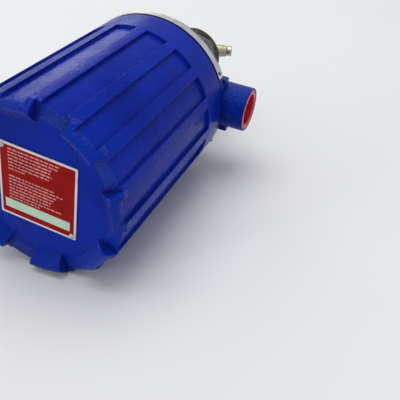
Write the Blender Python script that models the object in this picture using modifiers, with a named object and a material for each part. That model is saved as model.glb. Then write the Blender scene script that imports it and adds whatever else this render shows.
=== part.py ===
"""Vane-operated flow switch in an explosion-proof cast housing, lying on its side.

The switch is modelled standing upright, cap on top, around its own stem axis (local +Z).
Local height 0 is the joint between cover and base. The parent empty "laid_on_side" then
turns the cap towards world -Y and lifts the axis so that the housing rests on world Z = 0.
Three empties under it turn the cover, the base and the stem assembly about the stem axis,
because on the real device each of them is screwed or clamped at its own angle.
"""

import math

import bmesh
import bpy
from mathutils import Matrix, Vector

# ---------------------------------------------------------------- driving dimensions, metres
GAP = 0.0003
MERGE = 0.00005

HOUSING_RADIUS = 0.0753
REST_RADIUS = 0.0756
AXIS_HEIGHT = REST_RADIUS
JOINT_Y = 0.0275

COVER_TURN = math.radians(1.0)
BASE_TURN = math.radians(-6.2)
STEM_TURN = 0.0

COVER_HEIGHT = 0.186
COVER_END = 0.0023
COVER_BORE = 0.0652
COVER_CAVITY = 0.0635
COVER_CAVITY_TOP = 0.177
RECESS_COUNT = 16
RECESS_FLOOR = 0.0725
RECESS_HALF_ANGLE = math.radians(7.5)
RECESS_START = 0.034
CROWN_HEIGHT = 0.009
CROWN_GAPS = 8
CROWN_GAP_FLOOR = 0.0004
CROWN_GAP_HALF_ANGLE = math.radians(10.5)

BAND_INNER = 0.0749
BAND_OUTER = REST_RADIUS
BAND_TOP = -0.0003
BAND_BOTTOM = -0.0077
BAND_END_ANGLE = math.radians(24.6)
BAND_RIVET_ANGLE = math.radians(27.9)

RIM_RADIUS = 0.0746
BASE_FLOOR = -0.034
BASE_BOTTOM = -0.042
HUB_HEIGHT = -0.0191
HUB_RADIUS = 0.0210
HUB_REACH = 0.096
HUB_BORE = 0.0148
HUB_SOCKET = 0.0164
HUB_RECESS = 0.0195
HUB_RECESS_DEPTH = 0.0016
BOSS_TOP = -0.0088
BOSS_BOTTOM = -0.0185
BOSSES = ((0.0155, 0.0279, 0.0721), (-0.0241, -0.0127, 0.0785))

HEX_TOP = -0.064
HEX_BOTTOM = -0.088
HEX_CORNER = 0.0404
HEX_PHASE = math.radians(41.0)
PIPE_THREAD_TOP_RADIUS = 0.0302
PIPE_THREAD_END_RADIUS = 0.0293
BUSHING_END = -0.114
YOKE_SOCKET_DEPTH = 0.012
NECK_RADIUS = 0.0134
SHOULDER_RADIUS = 0.020

TUBE_RADIUS = 0.011
TUBE_BORE = 0.0096
TUBE_TOP = 0.130
TUBE_BOTTOM = -0.0617

PIVOT_HEIGHT = -0.126
ARM_SAG = math.radians(15.0)
ARM_TRAVEL = math.radians(75.0)
STEM_STROKE = 0.006
CAM_HIGH = 0.011
CAM_CLEARANCE = 0.0009
STEM_RADIUS = 0.0025

LEVER_PIVOT = (0.028, 0.052)
LEVER_INNER = 0.0260
LEVER_OUTER = 0.0285
SWITCH_FACE = 0.038
PLUNGER_HEIGHT = 0.100
BIAS_HEIGHT = 0.068
MAGNET_HEIGHT = 0.086

TERMINAL_Y = 0.037
TERMINAL_TOP = -0.022
TERMINAL_PITCH = 0.013


# ---------------------------------------------------------------- scene helpers
def clear_scene():
    for item in list(bpy.data.objects):
        bpy.data.objects.remove(item, do_unlink=True)


def new_collection(name):
    collection = bpy.data.collections.new(name)
    bpy.context.scene.collection.children.link(collection)
    return collection


def material(name, color, roughness, metallic):
    item = bpy.data.materials.new(name)
    item.use_nodes = True
    shader = item.node_tree.nodes["Principled BSDF"]
    shader.inputs["Base Color"].default_value = (*color, 1.0)
    shader.inputs["Roughness"].default_value = roughness
    shader.inputs["Metallic"].default_value = metallic
    return item


def empty(name, parent=None):
    item = bpy.data.objects.new(name, None)
    PARTS.objects.link(item)
    item.parent = parent
    return item


def place(name, data, finish, parent, origin=(0.0, 0.0, 0.0)):
    """A visible sub-part; its mesh is given relative to its origin."""
    item = bpy.data.objects.new(name, data)
    PARTS.objects.link(item)
    item.parent = parent
    item.location = origin
    if finish is not None:
        data.materials.append(finish)
    return item


def tool(name, data, parent, origin=(0.0, 0.0, 0.0)):
    """A body that only cuts or extends a sub-part."""
    item = bpy.data.objects.new(name, data)
    CUTTERS.objects.link(item)
    item.parent = parent
    item.location = origin
    item.display_type = "WIRE"
    item.hide_render = True
    return item


def combine(target, other, operation):
    step = target.modifiers.new(f"{operation.lower()} {other.name}", "BOOLEAN")
    step.operation = operation
    step.solver = "EXACT"
    step.object = other


def smooth(mesh, angle=35.0):
    mesh.shade_smooth()
    mesh.set_sharp_from_angle(angle=math.radians(angle))


def mesh_from(name, build):
    """A mesh filled by build(bm)."""
    shape = bmesh.new()
    build(shape)
    bmesh.ops.recalc_face_normals(shape, faces=shape.faces)
    mesh = bpy.data.meshes.new(name)
    shape.to_mesh(mesh)
    shape.free()
    smooth(mesh)
    return mesh


def add_box(shape, low, high):
    low, high = Vector(low), Vector(high)
    size = Matrix.Diagonal((*(high - low), 1.0))
    bmesh.ops.create_cube(shape, size=1.0, matrix=Matrix.Translation((low + high) / 2) @ size)


def add_cylinder(shape, start, end, radius, end_radius=None, sides=24, phase=0.0):
    start, end = Vector(start), Vector(end)
    turn = (end - start).to_track_quat("Z", "Y").to_matrix().to_4x4()
    spin = Matrix.Rotation(phase, 4, "Z")
    bmesh.ops.create_cone(
        shape,
        cap_ends=True,
        segments=sides,
        radius1=radius,
        radius2=radius if end_radius is None else end_radius,
        depth=(end - start).length,
        matrix=Matrix.Translation((start + end) / 2) @ turn @ spin,
    )


def add_sector(shape, inner, outer, middle, half_angle, bottom, top, steps):
    """A block between two radii, spread half_angle to each side of the middle direction."""
    angles = [middle + half_angle * (2 * i / steps - 1) for i in range(steps + 1)]
    rim = [(inner * math.cos(a), inner * math.sin(a), bottom) for a in angles]
    rim += [(outer * math.cos(a), outer * math.sin(a), bottom) for a in reversed(angles)]
    face = shape.faces.new([shape.verts.new(point) for point in rim])
    grown = bmesh.ops.extrude_face_region(shape, geom=[face])["geom"]
    lifted = [item for item in grown if isinstance(item, bmesh.types.BMVert)]
    bmesh.ops.translate(shape, verts=lifted, vec=(0.0, 0.0, top - bottom))


def box_mesh(name, low, high):
    return mesh_from(name, lambda shape: add_box(shape, low, high))


def rod_mesh(name, start, end, radius, sides=24, phase=0.0):
    return mesh_from(
        name, lambda shape: add_cylinder(shape, start, end, radius, sides=sides, phase=phase)
    )


def turned_mesh(name, profile, steps=48, ring=False):
    """A body turned about local Z; the profile runs down its outer side and up its bore."""
    mesh = bpy.data.meshes.new(name)
    points = [(radius, 0.0, height) for radius, height in profile]
    edges = [(i, i + 1) for i in range(len(points) - 1)]
    if ring:
        edges.append((len(points) - 1, 0))
    mesh.from_pydata(points, edges, [])
    source = bpy.data.objects.new(name, mesh)
    CUTTERS.objects.link(source)
    turn = source.modifiers.new("turn", "SCREW")
    turn.axis = "Z"
    turn.steps = steps
    turn.render_steps = steps
    turn.use_merge_vertices = True
    turn.merge_threshold = MERGE
    graph = bpy.context.evaluated_depsgraph_get()
    solid = bpy.data.meshes.new_from_object(source.evaluated_get(graph))
    bpy.data.objects.remove(source)
    bpy.data.meshes.remove(mesh)
    solid.name = name
    smooth(solid)
    return solid


def tube_mesh(name, points, radius, resolution=2):
    """A wire along the points, as a closed mesh."""
    curve = bpy.data.curves.new(name, "CURVE")
    curve.dimensions = "3D"
    curve.bevel_depth = radius
    curve.bevel_resolution = resolution
    curve.use_fill_caps = True
    line = curve.splines.new("POLY")
    line.points.add(len(points) - 1)
    for item, point in zip(line.points, points):
        item.co = (*point, 1.0)
    source = bpy.data.objects.new(name, curve)
    CUTTERS.objects.link(source)
    graph = bpy.context.evaluated_depsgraph_get()
    solid = bpy.data.meshes.new_from_object(source.evaluated_get(graph))
    bpy.data.objects.remove(source)
    bpy.data.curves.remove(curve)
    shape = bmesh.new()
    shape.from_mesh(solid)
    bmesh.ops.remove_doubles(shape, verts=shape.verts, dist=MERGE / 5)
    shape.to_mesh(solid)
    shape.free()
    solid.name = name
    smooth(solid, 60.0)
    return solid


def on_circle(radius, angle, height=0.0):
    return Vector((radius * math.cos(angle), radius * math.sin(angle), height))


# ---------------------------------------------------------------- cover and its plate
def housing_cover(parent):
    """Screwed-on cap: smooth collar, sixteen sunk panels and a crown of eight wrench lugs."""
    crown = COVER_HEIGHT + CROWN_HEIGHT
    profile = [
        (0.0, COVER_HEIGHT),
        (0.0560, COVER_HEIGHT),
        (0.0585, COVER_HEIGHT + 0.002),
        (0.0665, crown),
        (0.0695, crown),
        (HOUSING_RADIUS, COVER_HEIGHT + 0.0015),
        (HOUSING_RADIUS, COVER_END),
        (COVER_BORE + 0.0008, COVER_END),
        (COVER_BORE, COVER_END + 0.0010),
        (COVER_BORE, 0.0210),
        (COVER_CAVITY, 0.0230),
        (COVER_CAVITY, COVER_CAVITY_TOP - 0.006),
        (COVER_CAVITY - 0.006, COVER_CAVITY_TOP),
        (0.0, COVER_CAVITY_TOP),
    ]
    cover = place("housing_cover", turned_mesh("housing_cover", profile, 100), PAINT, parent)

    def panels(shape):
        for i in range(RECESS_COUNT):
            middle = 2 * math.pi * i / RECESS_COUNT
            top = crown + 0.01
            add_sector(shape, RECESS_FLOOR, 0.082, middle, RECESS_HALF_ANGLE, RECESS_START, top, 6)

    def crown_gaps(shape):
        for i in range(CROWN_GAPS):
            middle = 2 * math.pi * (i + 0.5) / CROWN_GAPS
            top = crown + 0.01
            floor = COVER_HEIGHT + CROWN_GAP_FLOOR
            add_sector(shape, 0.050, 0.084, middle, CROWN_GAP_HALF_ANGLE, floor, top, 6)

    def screw_holes(shape):
        for spot in plate_screw_spots():
            start = spot - Vector((0.0, 0.0, 0.006))
            add_cylinder(shape, start, spot + Vector((0.0, 0.0, 0.006)), 0.0015, sides=12)

    combine(cover, tool("panel_cutter", mesh_from("panels", panels), parent), "DIFFERENCE")
    combine(cover, tool("crown_cutter", mesh_from("gaps", crown_gaps), parent), "DIFFERENCE")
    combine(cover, tool("plate_hole_cutter", mesh_from("holes", screw_holes), parent), "DIFFERENCE")


PLATE_SIDE = 0.0652
PLATE_TURN = math.radians(-10.8)
PLATE_OFFSET = 0.0020
PLATE_THICKNESS = 0.0008
PLATE_SCREW_INSET = 0.0032


def plate_screw_spots():
    """Opposite plate corners, on the cover's end face, in the cover's own frame.

    Seen from in front of the laid-down cap, local X runs right and local Y runs up.
    """
    reach = PLATE_SIDE / 2 - PLATE_SCREW_INSET
    turn = Matrix.Rotation(PLATE_TURN, 3, "Z")
    corners = ((PLATE_OFFSET - reach, reach), (PLATE_OFFSET + reach, -reach))
    return [turn @ Vector((x, y, COVER_HEIGHT)) for x, y in corners]


def instruction_plate(parent):
    """Thin square metal plate with a drive screw in two opposite corners."""
    low = COVER_HEIGHT + GAP
    half = PLATE_SIDE / 2
    left, right = PLATE_OFFSET - half, PLATE_OFFSET + half
    mesh = box_mesh("instruction_plate", (left, -half, low), (right, half, low + PLATE_THICKNESS))
    mesh.transform(Matrix.Rotation(PLATE_TURN, 4, "Z"))
    plate = place("instruction_plate", mesh, PLATE_RED, parent)

    def holes(shape):
        for spot in plate_screw_spots():
            add_cylinder(shape, spot, spot + Vector((0.0, 0.0, 0.004)), 0.0015, sides=12)

    combine(plate, tool("plate_cutter", mesh_from("plate_holes", holes), parent), "DIFFERENCE")
    head = GAP + PLATE_THICKNESS + GAP
    profile = [
        (0.0, head + 0.0011),
        (0.0013, head + 0.0009),
        (0.0023, head + 0.0002),
        (0.0023, head),
        (0.0011, head),
        (0.0011, -0.0050),
        (0.0, -0.0050),
    ]
    for number, spot in enumerate(plate_screw_spots(), 1):
        name = f"plate_screw_{number}"
        place(name, turned_mesh(name, profile, 16), STEEL, parent, spot)


# ---------------------------------------------------------------- base, bands, plugs
def housing_base(parent):
    """Cast base: threaded spigot, banded rim, wiring chamber and two opposite conduit hubs.

    Each hub has a small block boss to either side, under the rim: (start, end, reach) in BOSSES.
    """
    profile = [
        (0.0646, 0.0200),
        (0.0646, 0.0066),
        (0.0613, 0.0066),
        (0.0613, 0.0026),
        (0.0646, 0.0026),
        (0.0646, 0.0),
        (RIM_RADIUS, 0.0),
        (RIM_RADIUS, -0.0083),
        (0.0724, -0.0092),
        (0.0718, -0.0150),
        (0.0680, -0.0235),
        (0.0620, -0.0330),
        (0.0545, -0.0405),
        (0.0500, BASE_BOTTOM),
        (NECK_RADIUS + GAP, BASE_BOTTOM),
        (NECK_RADIUS + GAP, BASE_FLOOR),
        (0.0490, BASE_FLOOR),
        (0.0510, -0.0310),
        (0.0510, -0.0120),
        (0.0570, -0.0080),
        (0.0570, 0.0200),
    ]
    base = place("housing_base", turned_mesh("housing_base", profile, 60, ring=True), PAINT, parent)

    def hubs(shape):
        for side in (-1, 1):
            start, end = (side * 0.0535, 0.0, HUB_HEIGHT), (side * HUB_REACH, 0.0, HUB_HEIGHT)
            add_cylinder(shape, start, end, HUB_RADIUS, sides=36)

    def bosses(shape):
        for side in (-1, 1):
            for start, end, reach in BOSSES:
                low = (min(side * 0.0560, side * reach), min(side * start, side * end), BOSS_BOTTOM)
                high = (max(side * 0.0560, side * reach), max(side * start, side * end), BOSS_TOP)
                add_box(shape, low, high)

    def hub_bores(shape):
        add_cylinder(shape, (-0.1, 0.0, HUB_HEIGHT), (0.1, 0.0, HUB_HEIGHT), HUB_BORE, sides=28)

    def hub_sockets(shape):
        for side in (-1, 1):
            inside = (side * 0.0800, 0.0, HUB_HEIGHT)
            add_cylinder(shape, inside, (side * 0.1, 0.0, HUB_HEIGHT), HUB_SOCKET, sides=36)

    def hub_recesses(shape):
        for side in (-1, 1):
            inside = (side * (HUB_REACH - HUB_RECESS_DEPTH), 0.0, HUB_HEIGHT)
            add_cylinder(shape, inside, (side * 0.1, 0.0, HUB_HEIGHT), HUB_RECESS, sides=36)

    def small_holes(shape):
        for angle in rivet_angles():
            start, end = on_circle(0.0700, angle, band_middle()), on_circle(0.080, angle, band_middle())
            add_cylinder(shape, start, end, 0.0012, sides=12)
        add_cylinder(shape, (0.0, -0.036, BASE_FLOOR - 0.006), (0.0, -0.036, -0.02), 0.0023, sides=12)

    combine(base, tool("hub_body", mesh_from("hubs", hubs), parent), "UNION")
    combine(base, tool("boss_body", mesh_from("bosses", bosses), parent), "UNION")
    combine(base, tool("hub_bore", mesh_from("hub_bore", hub_bores), parent), "DIFFERENCE")
    combine(base, tool("hub_socket", mesh_from("hub_socket", hub_sockets), parent), "DIFFERENCE")
    combine(base, tool("hub_recess", mesh_from("hub_recess", hub_recesses), parent), "DIFFERENCE")
    combine(base, tool("base_holes", mesh_from("base_holes", small_holes), parent), "DIFFERENCE")


def band_middle():
    return (BAND_TOP + BAND_BOTTOM) / 2


def rivet_angles():
    """Directions of the band rivets, one near each end of the upper and the lower band."""
    near = BAND_RIVET_ANGLE
    return [near, math.pi - near, math.pi + near, -near]


def name_bands(parent):
    """Thin strips around the rim, between the two hub pads, each riveted at both ends."""
    half = math.pi / 2 - BAND_END_ANGLE
    for name, middle, angles in (
        ("name_band_upper", math.pi / 2, rivet_angles()[:2]),
        ("name_band_lower", -math.pi / 2, rivet_angles()[2:]),
    ):

        def strip(shape, middle=middle):
            add_sector(shape, BAND_INNER, BAND_OUTER, middle, half, BAND_BOTTOM, BAND_TOP, 48)

        def holes(shape, angles=angles):
            for angle in angles:
                inside = on_circle(0.072, angle, band_middle())
                add_cylinder(shape, inside, on_circle(0.080, angle, band_middle()), 0.0012, sides=12)

        band = place(name, mesh_from(name, strip), BAND_METAL, parent)
        combine(band, tool(f"{name}_holes", mesh_from("holes", holes), parent), "DIFFERENCE")

    head = BAND_OUTER + GAP
    profile = [
        (0.0, head + 0.0008),
        (0.0011, head + 0.0006),
        (0.0018, head),
        (0.0008, head),
        (0.0008, 0.0706),
        (0.0, 0.0706),
    ]
    for number, angle in enumerate(rivet_angles(), 1):
        name = f"band_rivet_{number}"
        mesh = turned_mesh(name, profile, 12)
        outward = Matrix.Rotation(angle, 4, "Z") @ Matrix.Rotation(math.pi / 2, 4, "Y")
        mesh.transform(Matrix.Translation((0.0, 0.0, band_middle())) @ outward)
        place(name, mesh, DARK_STEEL, parent)


def cover_o_ring(parent):
    """Rubber ring in the groove at the root of the spigot."""

    def torus(shape):
        ring_radius, cord_radius = 0.0631, 0.00165
        sides, around = 6, 56
        for i in range(around):
            for j in range(sides):
                angle, turn = 2 * math.pi * i / around, 2 * math.pi * j / sides
                out = ring_radius + cord_radius * math.cos(turn)
                shape.verts.new(on_circle(out, angle, 0.0046 + cord_radius * math.sin(turn)))
        shape.verts.ensure_lookup_table()
        for i in range(around):
            for j in range(sides):
                k, m = (i + 1) % around, (j + 1) % sides
                corners = [i * sides + j, k * sides + j, k * sides + m, i * sides + m]
                shape.faces.new([shape.verts[c] for c in corners])

    place("cover_o_ring", mesh_from("cover_o_ring", torus), RUBBER, parent)


def conduit_plugs(parent):
    """Red plastic thread protectors: a cup pressed into each conduit hub, with a thin rim."""
    rim = HUB_REACH - HUB_RECESS_DEPTH + GAP
    profile = [
        (0.0, 0.0856),
        (0.0142, 0.0856),
        (0.0147, HUB_REACH - 0.0002),
        (0.0187, HUB_REACH - 0.0002),
        (0.0192, HUB_REACH - 0.0006),
        (0.0192, rim),
        (0.0161, rim),
        (0.0161, rim - 0.0020),
        (0.0156, 0.0840),
        (0.0, 0.0840),
    ]
    for name, turn in (("conduit_plug_right", 0.0), ("conduit_plug_left", math.pi)):
        mesh = turned_mesh(name, profile, 36)
        outward = Matrix.Rotation(turn, 4, "Z") @ Matrix.Rotation(math.pi / 2, 4, "Y")
        mesh.transform(outward)
        place(name, mesh, PLUG_RED, parent, (0.0, 0.0, HUB_HEIGHT))


def terminal_block(parent):
    """Barrier strip with three screws, on the floor of the wiring chamber."""
    floor = BASE_FLOOR + GAP

    def strip(shape):
        add_box(shape, (-0.0215, 0.030, floor), (0.0215, 0.0436, TERMINAL_TOP))

    def barriers(shape):
        for i in range(4):
            middle = (i - 1.5) * TERMINAL_PITCH
            add_box(shape, (middle - 0.001, 0.0301, -0.026), (middle + 0.001, 0.0435, -0.0175))

    def holes(shape):
        for x in terminal_columns():
            add_cylinder(shape, (x, TERMINAL_Y, -0.030), (x, TERMINAL_Y, -0.015), 0.0018, sides=12)

    block = place("terminal_block", mesh_from("terminal_block", strip), BLACK_PLASTIC, parent)
    combine(block, tool("terminal_barriers", mesh_from("barriers", barriers), parent), "UNION")
    combine(block, tool("terminal_holes", mesh_from("terminal_holes", holes), parent), "DIFFERENCE")
    head = TERMINAL_TOP + GAP
    for number, x in enumerate(terminal_columns(), 1):
        name = f"terminal_screw_{number}"
        mesh = turned_mesh(name, pan_screw(0.0028, 0.0018, 0.0015, 0.007), 16)
        place(name, mesh, BRASS, parent, (x, TERMINAL_Y, head))


def terminal_columns():
    return [(i - 1) * TERMINAL_PITCH for i in range(3)]


def pan_screw(head_radius, head_height, shank_radius, length):
    """Profile of a screw whose head stands on height 0."""
    return [
        (0.0, head_height),
        (head_radius * 0.7, head_height),
        (head_radius, head_height * 0.55),
        (head_radius, 0.0),
        (shank_radius, 0.0),
        (shank_radius, -length),
        (0.0, -length),
    ]


def ground_screw(parent):
    """Hexagon-headed grounding screw on the floor of the wiring chamber."""
    seat = BASE_FLOOR + GAP

    def head(shape):
        add_cylinder(shape, (0.0, 0.0, 0.0), (0.0, 0.0, 0.004), 0.0046, sides=6)

    screw = place("ground_screw", mesh_from("ground_screw", head), GREEN_ZINC, parent, (0.0, -0.036, seat))
    shank = rod_mesh("ground_shank", (0.0, 0.0, -0.0055), (0.0, 0.0, 0.002), 0.0019, 16)
    combine(screw, tool("ground_shank", shank, parent, (0.0, -0.036, seat)), "UNION")


# ---------------------------------------------------------------- bushing, tube and stem
def mounting_bushing(parent):
    """Steel pipe bushing: clamped neck, chamfered hexagon and the process pipe thread."""
    chamfer = [
        (0.0, HEX_TOP),
        (0.0360, HEX_TOP),
        (0.0402, HEX_TOP - 0.0030),
        (0.0402, HEX_BOTTOM + 0.0030),
        (0.0370, HEX_BOTTOM),
        (0.0, HEX_BOTTOM),
    ]
    body = [
        (NECK_RADIUS - 0.0006, -0.0240),
        (NECK_RADIUS, -0.0246),
        (NECK_RADIUS, -0.0438),
        (SHOULDER_RADIUS, -0.0438),
        (SHOULDER_RADIUS, -0.0700),
        (0.0285, -0.0700),
        (0.0285, HEX_BOTTOM - 0.0020),
        (PIPE_THREAD_TOP_RADIUS, HEX_BOTTOM - 0.0030),
        (PIPE_THREAD_END_RADIUS, BUSHING_END + 0.0010),
        (PIPE_THREAD_END_RADIUS - 0.0010, BUSHING_END),
        (0.0133, BUSHING_END),
        (0.0133, BUSHING_END + YOKE_SOCKET_DEPTH),
        (0.0030, BUSHING_END + YOKE_SOCKET_DEPTH),
        (0.0030, -0.0620),
        (TUBE_RADIUS + GAP, -0.0620),
        (TUBE_RADIUS + GAP, -0.0240),
    ]
    bushing = place("mounting_bushing", turned_mesh("mounting_bushing", body, 40, ring=True), PLATED, parent)
    hexagon = rod_mesh(
        "hexagon", (0.0, 0.0, HEX_TOP + 0.001), (0.0, 0.0, HEX_BOTTOM - 0.001), HEX_CORNER, 6, HEX_PHASE
    )
    hexagon = tool("hexagon", hexagon, parent)
    combine(hexagon, tool("hexagon_chamfer", turned_mesh("chamfer", chamfer, 40), parent), "INTERSECT")
    hollow = rod_mesh("hexagon_hollow", (0.0, 0.0, -0.060), (0.0, 0.0, -0.095), 0.0170, 32)
    combine(hexagon, tool("hexagon_hollow", hollow, parent), "DIFFERENCE")
    combine(bushing, hexagon, "UNION")


def base_lock_nut(parent):
    """Thin hexagon nut that clamps the base on the neck of the bushing."""
    bottom, top = BASE_FLOOR + GAP, -0.0260
    mesh = rod_mesh("base_lock_nut", (0.0, 0.0, bottom), (0.0, 0.0, top), 0.0200, 6)
    nut = place("base_lock_nut", mesh, STEEL, parent)
    bore = rod_mesh("nut_bore", (0.0, 0.0, bottom - 0.01), (0.0, 0.0, top + 0.01), NECK_RADIUS + GAP, 32)
    combine(nut, tool("nut_bore", bore, parent), "DIFFERENCE")


def tube_gasket(parent):
    top, bottom = BASE_BOTTOM - GAP, -0.0438 + GAP
    profile = [(0.0198, top), (0.0198, bottom), (NECK_RADIUS + GAP, bottom), (NECK_RADIUS + GAP, top)]
    place("tube_gasket", turned_mesh("tube_gasket", profile, 32, ring=True), RUBBER, parent)


def enclosing_tube(parent):
    """Non-magnetic pressure tube, closed at the top, that separates stem and switch."""
    profile = [
        (0.0, TUBE_TOP),
        (0.0080, TUBE_TOP),
        (TUBE_RADIUS, TUBE_TOP - 0.0030),
        (TUBE_RADIUS, TUBE_BOTTOM),
        (TUBE_BORE, TUBE_BOTTOM),
        (TUBE_BORE, TUBE_TOP - 0.0035),
        (0.0075, TUBE_TOP - 0.0016),
        (0.0, TUBE_TOP - 0.0016),
    ]
    place("enclosing_tube", turned_mesh("enclosing_tube", profile, 32), STAINLESS, parent)


SLEEVE_BOTTOM, SLEEVE_TOP = 0.070, 0.098
STEM_NUT_HEIGHT = 0.004


def stem_assembly(parent):
    """Stem with a domed foot on the cam, and the attraction sleeve between two nuts."""
    foot = PIVOT_HEIGHT + CAM_HIGH + CAM_CLEARANCE
    profile = [
        (0.0, 0.1100),
        (0.0019, 0.1100),
        (0.0019, 0.0625),
        (STEM_RADIUS, 0.0620),
        (STEM_RADIUS, foot + 0.0030),
        (0.0019, foot + 0.0012),
        (0.0010, foot + 0.0002),
        (0.0, foot),
    ]
    place("actuator_stem", turned_mesh("actuator_stem", profile, 16), STAINLESS, parent)
    bore = 0.0019 + GAP
    sleeve = [(0.0086, SLEEVE_TOP), (0.0086, SLEEVE_BOTTOM), (bore, SLEEVE_BOTTOM), (bore, SLEEVE_TOP)]
    place("attraction_sleeve", turned_mesh("attraction_sleeve", sleeve, 32, ring=True), STEEL, parent)
    for name, bottom in (
        ("stem_nut_lower", SLEEVE_BOTTOM - GAP - STEM_NUT_HEIGHT),
        ("stem_nut_upper", SLEEVE_TOP + GAP),
    ):
        top = bottom + STEM_NUT_HEIGHT
        nut = place(name, rod_mesh(name, (0, 0, bottom), (0, 0, top), 0.0046, 6), STEEL, parent)
        hole = rod_mesh(f"{name}_bore", (0, 0, bottom - 0.005), (0, 0, top + 0.005), bore, 16)
        combine(nut, tool(f"{name}_bore", hole, parent), "DIFFERENCE")


def coil_points(radius, bottom, top, turns, per_turn, direction="Z", offset=(0.0, 0.0)):
    """A helix about local Z, or about a line along local Y at the given (x, z) offset."""
    count = turns * per_turn
    points = []
    for i in range(count + 1):
        angle = 2 * math.pi * i / per_turn
        along = bottom + (top - bottom) * i / count
        side, other = radius * math.cos(angle), radius * math.sin(angle)
        if direction == "Z":
            points.append((side + offset[0], other + offset[1], along))
        else:
            points.append((offset[0] + side, along, offset[1] + other))
    return points


def range_spring(parent):
    """Light compression spring between the upper stem nut and the closed end of the tube."""
    wire = 0.0006
    bottom = SLEEVE_TOP + GAP + STEM_NUT_HEIGHT + GAP + wire
    top = TUBE_TOP - 0.0016 - GAP - wire
    points = coil_points(0.0048, bottom, top, 7, 8)
    place("range_spring", tube_mesh("range_spring", points, wire), SPRING_STEEL, parent)


# ---------------------------------------------------------------- linkage below the bushing
def linkage_yoke(parent):
    """Fork pressed into the end of the bushing; its cheeks carry the arm's pivot pin."""
    top = BUSHING_END + YOKE_SOCKET_DEPTH - GAP
    bottom = BUSHING_END - 0.0025
    profile = [
        (0.0130, top),
        (0.0130, BUSHING_END - GAP),
        (0.0150, BUSHING_END - GAP),
        (0.0150, bottom),
        (0.0080, bottom),
        (0.0080, top),
    ]
    yoke = place("linkage_yoke", turned_mesh("linkage_yoke", profile, 32, ring=True), PLATED, parent)
    for side in (-1, 1):
        low, high = sorted((side * 0.0045, side * 0.0075))
        plate = box_mesh("cheek", (-0.008, low, PIVOT_HEIGHT), (0.008, high, bottom + 0.0012))
        round_end = rod_mesh("cheek_end", (0, low, PIVOT_HEIGHT), (0, high, PIVOT_HEIGHT), 0.00799)
        combine(yoke, tool(f"cheek_{side}", plate, parent), "UNION")
        combine(yoke, tool(f"cheek_end_{side}", round_end, parent), "UNION")
    hole = rod_mesh("pin_hole", (0, -0.02, PIVOT_HEIGHT), (0, 0.02, PIVOT_HEIGHT), 0.0023, 16)
    combine(yoke, tool("pin_hole", hole, parent), "DIFFERENCE")


def pivot_pin(parent):
    """Headed pin across the fork, kept by a retaining ring."""
    head = 0.0075 + GAP
    profile = [
        (0.0, head + 0.0014),
        (0.0030, head + 0.0014),
        (0.0034, head + 0.0010),
        (0.0034, head),
        (0.0020, head),
        (0.0020, -0.0098),
        (0.0, -0.0098),
    ]
    mesh = turned_mesh("pivot_pin", profile, 20)
    mesh.transform(Matrix.Rotation(-math.pi / 2, 4, "X"))
    place("pivot_pin", mesh, STAINLESS, parent, (0.0, 0.0, PIVOT_HEIGHT))
    clip = [(0.0036, -head), (0.0036, -head - 0.0010), (0.0023, -head - 0.0010), (0.0023, -head)]
    mesh = turned_mesh("pin_retaining_ring", clip, 20, ring=True)
    mesh.transform(Matrix.Rotation(-math.pi / 2, 4, "X"))
    place("pin_retaining_ring", mesh, SPRING_STEEL, parent, (0.0, 0.0, PIVOT_HEIGHT))


def cam_radius(angle):
    """Cam radius at an angle from the arm, anticlockwise; it falls evenly over the arm's travel."""
    first = math.pi / 2 + ARM_SAG
    fall = min(max((angle - first) / ARM_TRAVEL, 0.0), 1.0)
    return CAM_HIGH - STEM_STROKE * fall


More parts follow.
